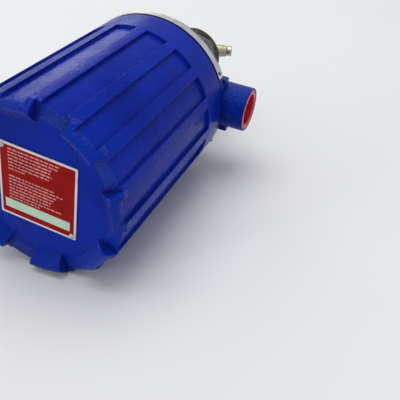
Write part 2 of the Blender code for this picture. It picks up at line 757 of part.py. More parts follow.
def vane_arm(parent):
    """Arm that carries the flow vane; the snail cam on its hub lifts the stem.

    Its own X runs along the arm and its own Y along the pivot pin.
    """
    origin = (0.0, 0.0, PIVOT_HEIGHT)

    def cam(shape):
        start, end = math.radians(75), math.radians(285)
        angles = [start + (end - start) * i / 42 for i in range(43)]
        rim = [(cam_radius(a) * math.cos(a), -0.0025, cam_radius(a) * math.sin(a)) for a in angles]
        rim.append((0.0035, -0.0025, -0.0040))
        rim.append((0.0060, -0.0025, 0.0035))
        face = shape.faces.new([shape.verts.new(point) for point in rim])
        grown = bmesh.ops.extrude_face_region(shape, geom=[face])["geom"]
        moved = [item for item in grown if isinstance(item, bmesh.types.BMVert)]
        bmesh.ops.translate(shape, verts=moved, vec=(0.0, 0.005, 0.0))

    def turn_with_arm(item):
        item.rotation_euler = (0.0, ARM_SAG, 0.0)
        return item

    arm = turn_with_arm(place("vane_arm", mesh_from("vane_arm", cam), OLIVE_ZINC, parent, origin))
    hub = rod_mesh("arm_hub", (0.0, -0.0041, 0.0), (0.0, 0.0041, 0.0), 0.0045)
    neck = box_mesh("arm_neck", (0.0020, -0.0040, -0.0036), (0.0160, 0.0040, 0.0036))
    barrel = mesh_from(
        "arm_barrel",
        lambda shape: add_cylinder(shape, (0.0140, 0.0, 0.0), (0.0312, 0.0, 0.0), 0.0072, 0.0060, 32),
    )
    hole = rod_mesh("arm_pin_hole", (0.0, -0.02, 0.0), (0.0, 0.02, 0.0), 0.0023, 16)
    thread = rod_mesh("arm_thread", (0.0220, 0.0, 0.0), (0.0400, 0.0, 0.0), 0.0018, 16)
    for name, mesh, operation in (
        ("arm_hub", hub, "UNION"),
        ("arm_neck", neck, "UNION"),
        ("arm_barrel", barrel, "UNION"),
        ("arm_pin_hole", hole, "DIFFERENCE"),
        ("arm_thread", thread, "DIFFERENCE"),
    ):
        combine(arm, turn_with_arm(tool(name, mesh, parent, origin)), operation)

    profile = [
        (0.0, 0.0368),
        (0.0051, 0.0368),
        (0.0056, 0.0362),
        (0.0056, 0.0322),
        (0.0046, 0.0315),
        (0.0015, 0.0315),
        (0.0015, 0.0230),
        (0.0, 0.0230),
    ]
    mesh = turned_mesh("vane_screw", profile, 24)
    mesh.transform(Matrix.Rotation(math.pi / 2, 4, "Y"))
    screw = turn_with_arm(place("vane_screw", mesh, STAINLESS, parent, origin))
    slot = box_mesh("vane_screw_slot", (0.0350, -0.0008, -0.01), (0.04, 0.0008, 0.01))
    combine(screw, turn_with_arm(tool("vane_screw_slot", slot, parent, origin)), "DIFFERENCE")


# ---------------------------------------------------------------- switch mechanism
def switch_bracket(parent):
    """Formed bracket clamped on the tube; it carries the lever's ears and the switch."""
    collar = [(0.0155, 0.050), (0.0155, 0.038), (TUBE_RADIUS + GAP, 0.038), (TUBE_RADIUS + GAP, 0.050)]
    bracket = place(
        "switch_bracket", turned_mesh("switch_bracket", collar, 32, ring=True), ZINC, parent
    )
    added = {
        "bracket_back": ((-0.016, 0.0135, 0.037), (0.016, 0.0165, 0.118)),
        "bracket_ear_left": ((-0.0112, 0.0150, 0.045), (-0.0092, 0.034, 0.059)),
        "bracket_ear_right": ((0.0092, 0.0150, 0.045), (0.0112, 0.034, 0.059)),
        "bracket_side": ((-0.0090, 0.0150, 0.084), (-0.0065, 0.052, 0.1175)),
        "bracket_clamp_ears": ((-0.009, -0.024, 0.039), (0.009, -0.0130, 0.049)),
    }
    removed = {
        "bracket_split": ((-0.0012, -0.030, 0.030), (0.0012, -0.0090, 0.060)),
        "bracket_window": ((-0.0062, 0.0100, 0.0755), (0.0062, 0.0200, 0.0965)),
    }
    for name, (low, high) in added.items():
        combine(bracket, tool(name, box_mesh(name, low, high), parent), "UNION")
    for name, (low, high) in removed.items():
        combine(bracket, tool(name, box_mesh(name, low, high), parent), "DIFFERENCE")

    def holes(shape):
        y, height = LEVER_PIVOT
        add_cylinder(shape, (-0.02, y, height), (0.02, y, height), 0.0018, sides=16)
        add_cylinder(shape, (-0.02, -0.0195, 0.044), (0.02, -0.0195, 0.044), 0.0018, sides=16)
        add_cylinder(shape, (0.0, 0.0125, BIAS_HEIGHT), (0.0, 0.0175, BIAS_HEIGHT), 0.0018, sides=16)
        for spot in switch_screw_spots():
            add_cylinder(shape, (-0.02, *spot), (0.0, *spot), 0.0014, sides=12)

    combine(bracket, tool("bracket_holes", mesh_from("bracket_holes", holes), parent), "DIFFERENCE")

    mesh = turned_mesh("bracket_clamp_screw", pan_screw(0.0030, 0.0024, 0.0015, 0.0185), 20)
    mesh.transform(Matrix.Rotation(math.pi / 2, 4, "Y"))
    place("bracket_clamp_screw", mesh, STEEL, parent, (0.009 + GAP, -0.0195, 0.044))


def switch_screw_spots():
    return [(0.048, 0.092), (0.048, 0.112)]


def magnet_arm(parent):
    """Pivoted lever beside the tube, with the permanent magnet on its inner face."""
    y, height = LEVER_PIVOT
    origin = (0.0, y, height)

    def local(low, high):
        shift = Vector(origin)
        return Vector(low) - shift, Vector(high) - shift

    low, high = local((-0.0050, LEVER_INNER, 0.0475), (0.0050, LEVER_OUTER, 0.1050))
    lever = place("magnet_arm", box_mesh("magnet_arm", low, high), ZINC, parent, origin)
    boss = rod_mesh("lever_boss", (-0.0088, 0.0, 0.0), (0.0088, 0.0, 0.0), 0.0036, 24)
    combine(lever, tool("lever_boss", boss, parent, origin), "UNION")

    def holes(shape):
        add_cylinder(shape, (-0.02, 0.0, 0.0), (0.02, 0.0, 0.0), 0.0018, sides=16)
        for spot, radius in ((BIAS_HEIGHT, 0.0025), (MAGNET_HEIGHT, 0.0014)):
            add_cylinder(
                shape, (0.0, -0.01, spot - height), (0.0, 0.01, spot - height), radius, sides=16
            )

    combine(lever, tool("lever_holes", mesh_from("lever_holes", holes), parent, origin), "DIFFERENCE")

    low, high = local((-0.0050, 0.0125, 0.078), (0.0050, LEVER_INNER - GAP, 0.094))
    magnet = place("magnet", box_mesh("magnet", low, high), MAGNET, parent, origin)
    hole = rod_mesh(
        "magnet_hole", (0, -0.0080, MAGNET_HEIGHT - height), (0, 0.0050, MAGNET_HEIGHT - height), 0.0014, 12
    )
    combine(magnet, tool("magnet_hole", hole, parent, origin), "DIFFERENCE")

    mesh = turned_mesh("magnet_screw", pan_screw(0.0024, 0.0015, 0.0011, 0.008), 16)
    mesh.transform(Matrix.Rotation(-math.pi / 2, 4, "X"))
    mesh.transform(Matrix.Translation(Vector((0.0, LEVER_OUTER + GAP, MAGNET_HEIGHT)) - Vector(origin)))
    place("magnet_screw", mesh, STEEL, parent, origin)
    pin = rod_mesh("magnet_pin", (-0.0125, y, height), (0.0125, y, height), 0.0015, 16)
    place("magnet_pin", pin, STEEL, parent)


def bias_adjuster(parent):
    """Stud in the bracket with the bias spring and its adjusting nut; the lever floats on it."""
    profile = [(0.0, 0.0380), (0.0013, 0.0380), (0.0015, 0.0377), (0.0015, 0.0128), (0.0, 0.0128)]
    mesh = turned_mesh("bias_stud", profile, 16)
    mesh.transform(Matrix.Translation((0, 0, BIAS_HEIGHT)) @ Matrix.Rotation(-math.pi / 2, 4, "X"))
    place("bias_stud", mesh, STEEL, parent)
    start, end = 0.0312, 0.0340
    nut = rod_mesh("bias_nut", (0, start, BIAS_HEIGHT), (0, end, BIAS_HEIGHT), 0.0032, 6)
    nut = place("bias_nut", nut, BRASS, parent)
    hole = rod_mesh("bias_nut_bore", (0, 0.025, BIAS_HEIGHT), (0, 0.040, BIAS_HEIGHT), 0.0018, 16)
    combine(nut, tool("bias_nut_bore", hole, parent), "DIFFERENCE")
    wire = 0.0004
    points = coil_points(
        0.0032, 0.0165 + GAP + wire, LEVER_INNER - GAP - wire, 5, 8, "Y", (0.0, BIAS_HEIGHT)
    )
    place("bias_spring", tube_mesh("bias_spring", points, wire), SPRING_STEEL, parent)


def micro_switch(parent):
    """Snap-action switch on the bracket, worked by the lever through its plunger."""
    low, high = (-0.0062, SWITCH_FACE, 0.088), (0.0038, 0.054, 0.116)
    body = place("micro_switch", box_mesh("micro_switch", low, high), BLACK_PLASTIC, parent)

    def holes(shape):
        add_cylinder(
            shape, (0.0, 0.030, PLUNGER_HEIGHT), (0.0, 0.0450, PLUNGER_HEIGHT), 0.0019, sides=16
        )
        for spot in switch_screw_spots():
            add_cylinder(shape, (-0.02, *spot), (0.02, *spot), 0.0014, sides=12)

    combine(body, tool("switch_holes", mesh_from("switch_holes", holes), parent), "DIFFERENCE")
    origin = (0.0, 0.031, PLUNGER_HEIGHT)
    profile = [(0.0, 0.0110), (0.0015, 0.0110), (0.0015, 0.0006), (0.0009, 0.0), (0.0, 0.0)]
    mesh = turned_mesh("switch_plunger", profile, 16)
    mesh.transform(Matrix.Rotation(-math.pi / 2, 4, "X"))
    place("switch_plunger", mesh, WHITE_PLASTIC, parent, origin)
    for number, (y, height) in enumerate(switch_screw_spots(), 1):
        name = f"switch_screw_{number}"
        mesh = turned_mesh(name, pan_screw(0.0022, 0.0014, 0.0011, 0.0135), 16)
        mesh.transform(Matrix.Rotation(math.pi / 2, 4, "Y"))
        place(name, mesh, STEEL, parent, (0.0038 + GAP, y, height))


def smooth_route(points, count):
    """Points along a Catmull-Rom curve through the given points."""
    points = [Vector(point) for point in points]
    padded = [points[0] * 2 - points[1], *points, points[-1] * 2 - points[-2]]
    spans = len(points) - 1
    route = []
    for i in range(count + 1):
        place_on = min(i * spans / count, spans - 1e-9)
        k = int(place_on)
        t = place_on - k
        a, b, c, d = padded[k : k + 4]
        route.append(
            0.5 * (2 * b + (c - a) * t + (2 * a - 5 * b + 4 * c - d) * t**2 + (3 * b - 3 * c + d - a) * t**3)
        )
    return route


def lead_wires(parent):
    """Two insulated leads from the snap switch down to the terminal strip."""
    turn = Matrix.Rotation(BASE_TURN - STEM_TURN, 3, "Z")
    for number, x, top_x in ((1, terminal_columns()[0], -0.0038), (2, terminal_columns()[2], 0.0014)):
        end = turn @ Vector((x, TERMINAL_Y - 0.0050, TERMINAL_TOP + 0.0004))
        side = 1 if x > 0 else -1
        stops = [
            (top_x, 0.0490, 0.0877),
            (top_x, 0.0490, 0.0780),
            (top_x + side * 0.004, 0.0450, 0.0560),
            (top_x + side * 0.008, 0.0420, 0.0300),
            (end.x * 0.95, 0.0385, 0.0060),
            (end.x, end.y, end.z + 0.0060),
            (end.x, end.y, end.z),
        ]
        name = f"lead_wire_{number}"
        finish = RED_WIRE if number == 1 else BLACK_WIRE
        place(name, tube_mesh(name, smooth_route(stops, 20), 0.0011), finish, parent)


# ---------------------------------------------------------------- assembly
clear_scene()
PARTS = new_collection("flow_switch")
CUTTERS = new_collection("cutters")

PAINT = material("blue paint", (0.010, 0.032, 0.330), 0.30, 0.0)
PLATE_RED = material("red plate", (0.300, 0.012, 0.016), 0.45, 0.0)
BAND_METAL = material("band metal", (0.720, 0.720, 0.700), 0.35, 0.9)
STEEL = material("steel", (0.550, 0.550, 0.560), 0.35, 1.0)
DARK_STEEL = material("dark steel", (0.180, 0.180, 0.180), 0.45, 1.0)
STAINLESS = material("stainless", (0.620, 0.610, 0.590), 0.30, 1.0)
SPRING_STEEL = material("spring steel", (0.450, 0.450, 0.470), 0.30, 1.0)
PLATED = material("dull plated steel", (0.170, 0.160, 0.120), 0.50, 0.8)
OLIVE_ZINC = material("olive chromate", (0.480, 0.470, 0.270), 0.40, 0.7)
ZINC = material("zinc plate", (0.600, 0.610, 0.640), 0.35, 1.0)
GREEN_ZINC = material("green zinc", (0.050, 0.300, 0.100), 0.40, 0.7)
BRASS = material("brass", (0.700, 0.520, 0.220), 0.30, 1.0)
MAGNET = material("magnet", (0.120, 0.120, 0.130), 0.50, 0.6)
RUBBER = material("rubber", (0.020, 0.020, 0.020), 0.70, 0.0)
BLACK_PLASTIC = material("black plastic", (0.020, 0.020, 0.022), 0.45, 0.0)
WHITE_PLASTIC = material("white plastic", (0.750, 0.740, 0.700), 0.40, 0.0)
PLUG_RED = material("red plastic", (0.450, 0.004, 0.012), 0.35, 0.0)
RED_WIRE = material("red insulation", (0.450, 0.020, 0.020), 0.45, 0.0)
BLACK_WIRE = material("black insulation", (0.015, 0.015, 0.015), 0.45, 0.0)

laid_on_side = empty("laid_on_side")
laid_on_side.location = (0.0, JOINT_Y, AXIS_HEIGHT)
laid_on_side.rotation_euler = (math.pi / 2, 0.0, 0.0)
cover_frame = empty("cover_frame", laid_on_side)
cover_frame.rotation_euler = (0.0, 0.0, COVER_TURN)
base_frame = empty("base_frame", laid_on_side)
base_frame.rotation_euler = (0.0, 0.0, BASE_TURN)
stem_frame = empty("stem_frame", laid_on_side)
stem_frame.rotation_euler = (0.0, 0.0, STEM_TURN)

housing_cover(cover_frame)
instruction_plate(cover_frame)
housing_base(base_frame)
name_bands(base_frame)
cover_o_ring(base_frame)
conduit_plugs(base_frame)
terminal_block(base_frame)
ground_screw(base_frame)
mounting_bushing(stem_frame)
base_lock_nut(stem_frame)
tube_gasket(stem_frame)
enclosing_tube(stem_frame)
stem_assembly(stem_frame)
range_spring(stem_frame)
linkage_yoke(stem_frame)
pivot_pin(stem_frame)
vane_arm(stem_frame)
switch_bracket(stem_frame)
magnet_arm(stem_frame)
bias_adjuster(stem_frame)
micro_switch(stem_frame)
lead_wires(stem_frame)
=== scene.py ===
"""Looks of the vane flow switch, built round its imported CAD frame."""

import math
import random

import bmesh
import bpy
import numpy as np
from mathutils import Matrix, Vector


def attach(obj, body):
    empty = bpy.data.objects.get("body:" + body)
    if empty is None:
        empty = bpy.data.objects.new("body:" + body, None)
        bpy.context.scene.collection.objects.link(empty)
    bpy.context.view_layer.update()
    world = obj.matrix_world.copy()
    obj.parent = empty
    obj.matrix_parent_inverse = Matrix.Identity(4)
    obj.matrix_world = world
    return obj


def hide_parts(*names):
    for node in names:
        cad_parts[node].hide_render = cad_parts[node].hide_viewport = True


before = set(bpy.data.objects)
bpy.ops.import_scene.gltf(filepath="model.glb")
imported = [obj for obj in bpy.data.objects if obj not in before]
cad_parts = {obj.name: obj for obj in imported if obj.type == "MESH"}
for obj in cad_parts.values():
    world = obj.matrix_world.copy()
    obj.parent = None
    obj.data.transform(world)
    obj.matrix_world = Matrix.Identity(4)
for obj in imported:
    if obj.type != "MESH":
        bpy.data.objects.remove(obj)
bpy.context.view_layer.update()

MM = 0.001
AXIS_HEIGHT = 75.6
JOINT_Y = 27.5
COVER_TURN = 1.0
BASE_TURN = -6.2
HUB_Z = -19.1
CAP_RADIUS = 75.3
PANEL_FLOOR = 72.5
PLATE_TURN = -10.8
PLATE_SIDE = 65.2
PLATE_OFFSET = 2.0
PLATE_THICK = 0.8
BAND_HALF_SPAN = 65.4
BAND_MIDDLE_Z = -4.0
RIVET_ANGLES = (27.9, 152.1, 207.9, 332.1)
HEX_HALF_FLATS = 34.95
HEX_TURN = 41.0
THREAD_PITCH = 2.209
ARM_PIVOT_Z = -126.0
ARM_SAG = 15.0
CAM_WIDTH = 5.0


# ---------------------------------------------------------------- geometry helpers
def upright(turn=0.0):
    """From millimetres in the upright device (z = height above the cap joint) to the world."""
    scale = Matrix.Scale(MM, 4)
    lift = Matrix.Translation((0.0, JOINT_Y, AXIS_HEIGHT))
    lay = Matrix.Rotation(math.pi / 2, 4, "X")
    return scale @ lift @ lay @ Matrix.Rotation(math.radians(turn), 4, "Z")


COVER = upright(COVER_TURN)
BASE = upright(BASE_TURN)
STEM = upright(0.0)


def smoothstep(x):
    x = np.clip(x, 0.0, 1.0)
    return x * x * (3 - 2 * x)


def finish_mesh(name, mesh, place, finish, sharp=32.0):
    mesh.transform(place)
    mesh.shade_smooth()
    mesh.set_sharp_from_angle(angle=math.radians(sharp))
    item = bpy.data.objects.new(name, mesh)
    bpy.context.scene.collection.objects.link(item)
    if finish is not None:
        mesh.materials.append(finish)
    return item


def surface(name, rings, place, finish, sharp=32.0, closed_along=False):
    """A closed body from rings of points; a ring whose points meet on the axis becomes one point."""
    rings = [np.asarray(ring, dtype=float) for ring in rings]
    count = len(rings[0])
    points, starts, single = [], [], []
    for ring in rings:
        starts.append(len(points))
        lone = float(np.abs(ring - ring[0]).max()) < 1e-6
        single.append(lone)
        points.extend(ring[:1].tolist() if lone else ring.tolist())
    faces = []
    pairs = [(i, i + 1) for i in range(len(rings) - 1)]
    if closed_along:
        pairs.append((len(rings) - 1, 0))
    for a, b in pairs:
        for i in range(count):
            j = (i + 1) % count
            corners = [
                starts[a] + (0 if single[a] else i),
                starts[b] + (0 if single[b] else i),
                starts[b] + (0 if single[b] else j),
                starts[a] + (0 if single[a] else j),
            ]
            loop = []
            for corner in corners:
                if corner not in loop:
                    loop.append(corner)
            if len(loop) > 2:
                faces.append(loop)
    mesh = bpy.data.meshes.new(name)
    mesh.from_pydata(points, [], faces)
    fixed = bmesh.new()
    fixed.from_mesh(mesh)
    bmesh.ops.recalc_face_normals(fixed, faces=fixed.faces)
    fixed.to_mesh(mesh)
    fixed.free()
    return finish_mesh(name, mesh, place, finish, sharp)


def round_corners(profile, radius, steps=3, closed=False):
    """The polyline with each corner rounded by up to the given radius."""
    points = [Vector(p) for p in profile]
    result = []
    count = len(points)
    for i, point in enumerate(points):
        if not closed and i in (0, count - 1):
            result.append(tuple(point))
            continue
        before, after = points[i - 1], points[(i + 1) % count]
        to_before, to_after = before - point, after - point
        if to_before.length < 1e-9 or to_after.length < 1e-9:
            continue
        bend = to_before.angle(to_after)
        if bend > math.radians(172):
            result.append(tuple(point))
            continue
        reach = min(radius / math.tan(bend / 2), to_before.length * 0.45, to_after.length * 0.45)
        start = point + to_before.normalized() * reach
        end = point + to_after.normalized() * reach
        for k in range(steps + 1):
            t = k / steps
            result.append(tuple(start * (1 - t) ** 2 + point * 2 * t * (1 - t) + end * t**2))
    return result


def lathe(name, profile, place, finish, steps=96, radius=0.5, closed=False, sharp=32.0, corner_steps=3):
    """Turned body from (r, z) points."""
    outline = round_corners(profile, radius, corner_steps, closed) if radius > 0 else profile
    angles = np.linspace(0, 2 * math.pi, steps, endpoint=False)
    rings = []
    for r, z in outline:
        r = max(r, 0.0)
        rings.append(np.stack([r * np.cos(angles), r * np.sin(angles), np.full(steps, z)], 1))
    return surface(name, rings, place, finish, sharp, closed)


def bevelled_box(name, low, high, place, finish, radius=0.4, segments=3):
    shape = bmesh.new()
    low, high = Vector(low), Vector(high)
    size = Matrix.Diagonal((*(high - low), 1.0))
    bmesh.ops.create_cube(shape, size=1.0, matrix=Matrix.Translation((low + high) / 2) @ size)
    bmesh.ops.bevel(
        shape, geom=shape.edges[:], offset=radius, segments=segments, profile=0.5, affect="EDGES"
    )
    mesh = bpy.data.meshes.new(name)
    shape.to_mesh(mesh)
    shape.free()
    return finish_mesh(name, mesh, place, finish)


def boolean(target, other, operation):
    """target becomes the result; other is used up."""
    step = target.modifiers.new("cut", "BOOLEAN")
    step.operation = operation
    step.solver = "EXACT"
    step.object = other
    graph = bpy.context.evaluated_depsgraph_get()
    mesh = bpy.data.meshes.new_from_object(target.evaluated_get(graph))
    target.modifiers.clear()
    target.data = mesh
    mesh.shade_smooth()
    mesh.set_sharp_from_angle(angle=math.radians(32))
    bpy.data.objects.remove(other)


def join(name, items):
    """One object from several, keeping their materials."""
    bpy.ops.object.select_all(action="DESELECT")
    for item in items:
        item.select_set(True)
    bpy.context.view_layer.objects.active = items[0]
    bpy.ops.object.join()
    items[0].name = name
    return items[0]


def along_x():
    """A turned body's axis laid along the local X axis."""
    return Matrix.Rotation(math.pi / 2, 4, "Y")


# ---------------------------------------------------------------- materials
class Nodes:
    """Short hand for building one node material."""

    def __init__(self, name):
        self.material = bpy.data.materials.new(name)
        self.material.use_nodes = True
        self.tree = self.material.node_tree
        self.shader = self.tree.nodes["Principled BSDF"]
        self.place = self.add("ShaderNodeTexCoord").outputs["Object"]

    def add(self, kind, **facts):
        node = self.tree.nodes.new(kind)
        for key, value in facts.items():
            setattr(node, key, value)
        return node

    def link(self, a, b):
        self.tree.links.new(a, b)

    def noise(self, scale, detail=3.0, rough=0.5, stretch=None, distortion=0.0):
        node = self.add("ShaderNodeTexNoise")
        node.inputs["Scale"].default_value = scale
        node.inputs["Detail"].default_value = detail
        node.inputs["Roughness"].default_value = rough
        node.inputs["Distortion"].default_value = distortion
        where = self.place
        if stretch is not None:
            scaler = self.add("ShaderNodeVectorMath", operation="MULTIPLY")
            scaler.inputs[1].default_value = stretch
            self.link(where, scaler.inputs[0])
            where = scaler.outputs[0]
        self.link(where, node.inputs["Vector"])
        return node.outputs["Fac"]

    def spread(self, value, low, high, to_low=0.0, to_high=1.0):
        node = self.add("ShaderNodeMapRange")
        node.interpolation_type = "SMOOTHSTEP"
        node.inputs["From Min"].default_value = low
        node.inputs["From Max"].default_value = high
        node.inputs["To Min"].default_value = to_low
        node.inputs["To Max"].default_value = to_high
        self.link(value, node.inputs["Value"])
        return node.outputs["Result"]

    def math(self, operation, a, b):
        node = self.add("ShaderNodeMath", operation=operation)
        for socket, value in zip(node.inputs, (a, b)):
            if isinstance(value, (int, float)):
                socket.default_value = value
            else:
                self.link(value, socket)
        return node.outputs[0]

    def mix(self, factor, a, b):
        node = self.add("ShaderNodeMix", data_type="RGBA")
        self.link(factor, node.inputs["Factor"])
        for socket, value in zip([s for s in node.inputs if s.type == "RGBA"], (a, b)):
            if isinstance(value, tuple):
                socket.default_value = (*value, 1.0)
            else:
                self.link(value, socket)
        return [s for s in node.outputs if s.type == "RGBA"][0]

    def bump(self, height, strength, distance, before=None):
        node = self.add("ShaderNodeBump")
        node.inputs["Strength"].default_value = strength
        node.inputs["Distance"].default_value = distance
        self.link(height, node.inputs["Height"])
        if before is not None:
            self.link(before, node.inputs["Normal"])
        return node.outputs["Normal"]

    def set(self, **facts):
        for key, value in facts.items():
            socket = self.shader.inputs[key.replace("_", " ")]
            if isinstance(value, (int, float)):
                socket.default_value = value
            elif isinstance(value, tuple):
                socket.default_value = (*value, 1.0)
            else:
                self.link(value, socket)


def convex_edge_mask(n, low=0.53, high=0.60):
    """1 on convex edges, broken up by noise."""
    pointed = n.add("ShaderNodeNewGeometry").outputs["Pointiness"]
    broken = n.math("ADD", pointed, n.math("MULTIPLY", n.math("SUBTRACT", n.noise(420, 4.0), 0.5), 0.10))
    return n.spread(broken, low, high)


def painted_corner_shade(n, reach=0.012):
    """1 in the open, towards 0 in corners, which darkens the enamel there as painted shade."""
    node = n.add("ShaderNodeAmbientOcclusion")
    node.samples = 8
    node.inputs["Distance"].default_value = reach
    return n.spread(node.outputs["AO"], 0.25, 0.95)


def enamel(name, grain, grain_depth, sparkle_share, shine):
    """Thick glossy ultramarine enamel over a sand casting, with painted sparkle specks, painted edge
    highlights and painted shade in corners.
    """
    n = Nodes(name)
    cloud = n.spread(n.noise(16, 3.0), 0.35, 0.65)
    deep = n.mix(cloud, (0.0020, 0.0125, 0.270), (0.0028, 0.0200, 0.350))
    # painted highlight: light-blue specks standing for sparkles on the rough enamel
    sparkle_speck = n.spread(n.noise(900, 2.0), 0.64, 0.74)
    sparkled = n.mix(n.math("MULTIPLY", sparkle_speck, sparkle_share), deep, (0.060, 0.160, 0.620))
    # painted highlight: convex edges lightened to stand for glints on the casting's ridges
    edge_highlighted = n.mix(n.math("MULTIPLY", convex_edge_mask(n), 0.22), sparkled, (0.040, 0.120, 0.520))
    # painted shade: corners and hollows darkened towards deep navy
    n.set(Base_Color=n.mix(painted_corner_shade(n), (0.0016, 0.0030, 0.060), edge_highlighted))
    n.set(Roughness=n.spread(n.noise(60, 4.0), 0.3, 0.7, 0.20, 0.34))
    grains = n.bump(n.noise(grain, 3.0, 0.6), 0.55, grain_depth)
    waves = n.bump(n.noise(85, 3.0, 0.55), 0.35, 0.0010, grains)
    n.set(Normal=n.bump(n.noise(1500, 2.0), 0.12, 0.0002, waves))
    n.set(Specular_IOR_Level=shine, Specular_Tint=(0.12, 0.45, 1.0))
    return n.material


def metal(name, dark, light, rough, grain=(1.0, 1.0, 1.0), scale=300.0, bump=0.15, metallic=1.0, edge_brightening=0.5):
    """Bare or plated metal with a grain, cloudy colour and bright edges."""
    n = Nodes(name)
    streak = n.noise(scale, 4.0, 0.6, stretch=grain)
    cloud = n.spread(n.noise(90, 4.0), 0.3, 0.7)
    body = n.mix(cloud, dark, light)
    bright = tuple(min(1.0, c * 1.5 + 0.08) for c in light)
    # convex edges lightened towards a brighter copy of the metal colour
    n.set(Base_Color=n.mix(n.math("MULTIPLY", convex_edge_mask(n), edge_brightening), body, bright))
    n.set(Metallic=metallic)
    n.set(Roughness=n.spread(streak, 0.3, 0.7, rough * 0.75, rough * 1.3))
    n.set(Normal=n.bump(streak, bump, 0.0002))
    return n.material


def plastic(name, dark, light, rough, bump=0.12, **more):
    n = Nodes(name)
    cloud = n.spread(n.noise(70, 3.0), 0.3, 0.7)
    n.set(Base_Color=n.mix(cloud, dark, light))
    n.set(Roughness=n.spread(n.noise(240, 3.0), 0.3, 0.7, rough * 0.8, rough * 1.25))
    n.set(Normal=n.bump(n.noise(900, 2.0), bump, 0.0001))
    n.set(**more)
    return n.material


PAINT = enamel("blue_paint", 620, 0.00025, 0.10, 0.11)
CAST = enamel("blue_paint_on_coarse_casting", 460, 0.0022, 0.30, 0.34)
PLATE_RED = plastic(
    "plate_red", (0.270, 0.0030, 0.0030), (0.350, 0.0050, 0.0040), 0.42, 0.10, Specular_IOR_Level=0.06
)
PLATE_WHITE = plastic("plate_white", (0.700, 0.640, 0.660), (0.800, 0.760, 0.760), 0.45, 0.10)
PLATE_PALE = plastic("plate_pale_field", (0.450, 0.660, 0.470), (0.540, 0.740, 0.560), 0.45, 0.10)
PLATE_PRINT = plastic("plate_print", (0.560, 0.220, 0.210), (0.680, 0.330, 0.310), 0.5, 0.10)
BAND = metal(
    "band_metal", (0.560, 0.560, 0.540), (0.760, 0.760, 0.730), 0.38, (1, 1, 1), 160, 0.25, 0.75, 0.3
)
STEEL = metal("steel", (0.420, 0.420, 0.430), (0.560, 0.560, 0.570), 0.32, (1, 1, 6), 260)
DARK_STEEL = metal("dark_steel", (0.100, 0.100, 0.105), (0.180, 0.180, 0.190), 0.42)
STAINLESS = metal("stainless", (0.520, 0.510, 0.490), (0.640, 0.630, 0.610), 0.28, (1, 5, 1), 260)
SPRING = metal("spring_steel", (0.360, 0.370, 0.390), (0.520, 0.520, 0.540), 0.25, (1, 1, 1), 500, 0.1)
PLATED = metal(
    "dull_plated_steel", (0.050, 0.047, 0.028), (0.125, 0.118, 0.075), 0.46, (1, 3, 1), 240, 0.25, 0.70
)
OLIVE = metal("olive_chromate", (0.420, 0.410, 0.230), (0.600, 0.590, 0.360), 0.40, (1, 1, 1), 260, 0.2, 0.55)
ZINC = metal("zinc_plate", (0.460, 0.470, 0.500), (0.660, 0.670, 0.700), 0.34, (1, 1, 1), 200)
GREEN = metal("green_zinc", (0.020, 0.180, 0.060), (0.050, 0.300, 0.110), 0.35)
BRASS = metal("brass", (0.520, 0.360, 0.130), (0.720, 0.540, 0.240), 0.28)
MAGNET = metal("magnet", (0.070, 0.070, 0.076), (0.130, 0.130, 0.140), 0.50, (1, 1, 1), 700, 0.3, 0.5, 0.3)
RUBBER = plastic("rubber", (0.012, 0.012, 0.012), (0.026, 0.026, 0.026), 0.70, 0.3)
BLACK = plastic("black_plastic", (0.012, 0.012, 0.013), (0.024, 0.024, 0.026), 0.42, 0.2)
WHITE = plastic("white_plastic", (0.660, 0.650, 0.600), (0.780, 0.770, 0.720), 0.38)
PLUG = plastic(
    "red_plastic", (0.420, 0.004, 0.010), (0.560, 0.008, 0.018), 0.32, 0.08,
    Subsurface_Weight=0.25, Subsurface_Scale=0.004,
)
RED_WIRE = plastic("red_insulation", (0.380, 0.012, 0.012), (0.500, 0.024, 0.024), 0.40)
BLACK_WIRE = plastic("black_insulation", (0.010, 0.010, 0.010), (0.020, 0.020, 0.020), 0.40)


# ---------------------------------------------------------------- cap
def cover_angles():
    """Directions round the cap, in degrees, close together where a panel or a lug ends."""
    angles = []
    for k in range(16):
        middle = 22.5 * k
        angles += [middle + step for step in (-5.2, -2.6, 0.0, 2.6, 5.2)]
        for side in (-1, 1):
            steps = [6.8, 7.25, 7.34, 7.40, 7.46, 7.52, 7.58, 7.64, 7.73, 8.3, 9.8]
            if k % 2 == 0:
                steps += [11.3, 11.62, 11.72, 11.80, 11.88, 11.98, 12.3]
            angles += [middle + side * step for step in steps]
    angles.sort()
    return np.array([a for i, a in enumerate(angles) if i == 0 or a - angles[i - 1] > 0.02])


def near(angles, period):
    """How far each direction is from the nearest multiple of the period, in degrees."""
    return np.abs((angles + period / 2) % period - period / 2)


